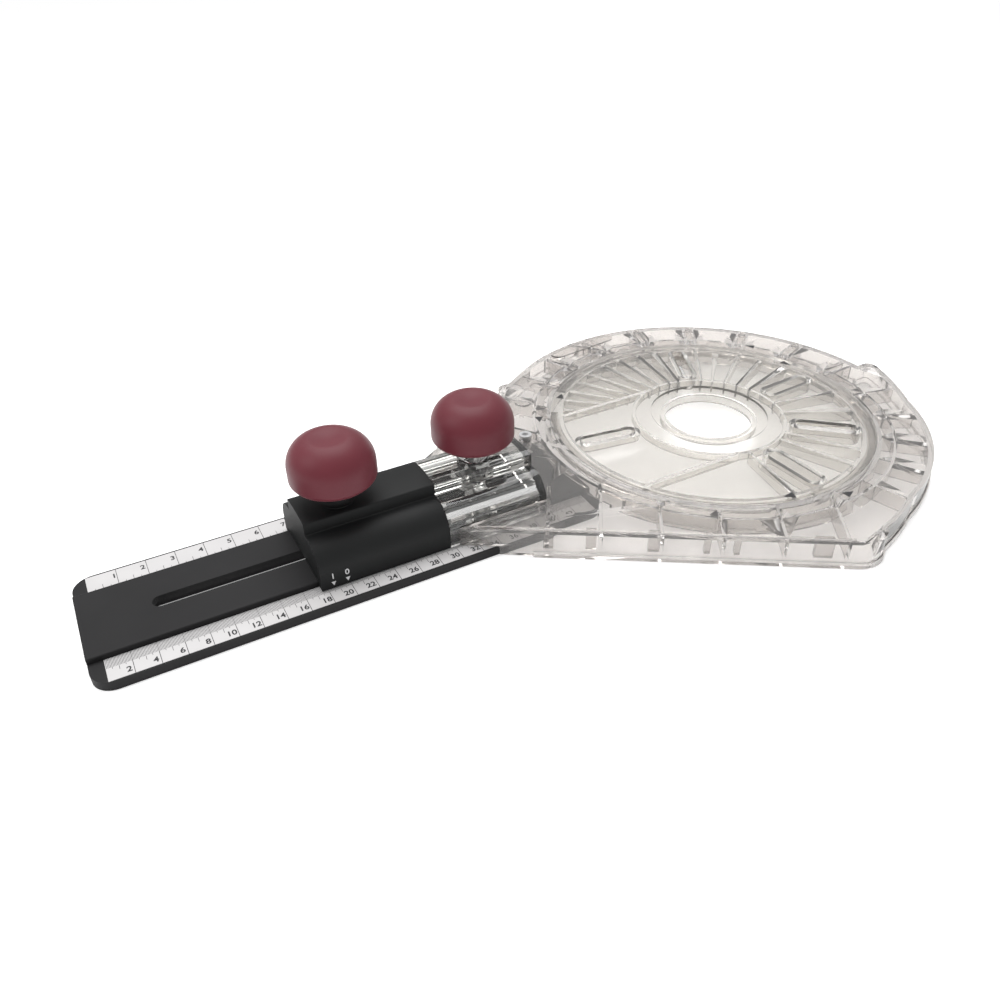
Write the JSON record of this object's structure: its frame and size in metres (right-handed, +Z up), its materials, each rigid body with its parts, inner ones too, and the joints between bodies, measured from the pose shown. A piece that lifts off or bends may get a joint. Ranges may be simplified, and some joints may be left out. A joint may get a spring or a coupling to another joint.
{
  "type": "router circle cutting jig",
  "caption": "Clear router guide with a turning plate, clamped by knobs to a slotted black scale bar that pivots on a pin to cut circles.",
  "frame": {"origin": "centre of the bar's pivot hole at the bar's underside, on the work surface", "axes": "+X along the arm from the scale bar towards the cutter, +Z up out of the work, +Y to the side of the inch scale"},
  "size_m": [0.4444, 0.2386, 0.0655],
  "materials": {
    "black_plastic": "satin moulded",
    "clear_plastic": "clear moulded",
    "tape_white": "printed film",
    "knob_red": "soft matt",
    "steel": "zinc plated",
    "insert_brass": "turned"
  },
  "bodies": {
    "frame": {"guide_frame": "clear_plastic", "carriage_block": "black_plastic", "join_screws": "steel", "lock_screw": "steel", "front_bolt": "steel", "rear_bolt": "steel", "front_washer": "steel", "rear_washer": "steel"},
    "bar": {"scale_bar": "black_plastic", "cm_scale": "tape_white", "inch_scale": "tape_white"},
    "plate": {"turn_plate": "clear_plastic"},
    "front_clamp": {"front_knob": "knob_red", "front_insert": "insert_brass"},
    "rear_clamp": {"rear_knob": "knob_red", "rear_insert": "insert_brass"}
  },
  "joints": [
    {"name": "bar_slide", "type": "slide", "parent": "frame", "child": "bar", "axis": [1, 0, 0], "range_m": [-0.0325, 0.08]},
    {"name": "plate_lock", "type": "hinge", "parent": "frame", "child": "plate", "pos_m": [0.096, 0, 0], "axis": [0, 0, 1], "range_deg": [0, 18]},
    {"name": "front_knob_turn", "type": "hinge", "parent": "frame", "child": "front_clamp", "pos_m": [-0.1135, 0, 0.04], "axis": [0, 0, 1], "range_deg": [0, 360]},
    {"name": "rear_knob_turn", "type": "hinge", "parent": "frame", "child": "rear_clamp", "pos_m": [-0.0465, 0, 0.04], "axis": [0, 0, 1], "range_deg": [0, 360]}
  ]
}
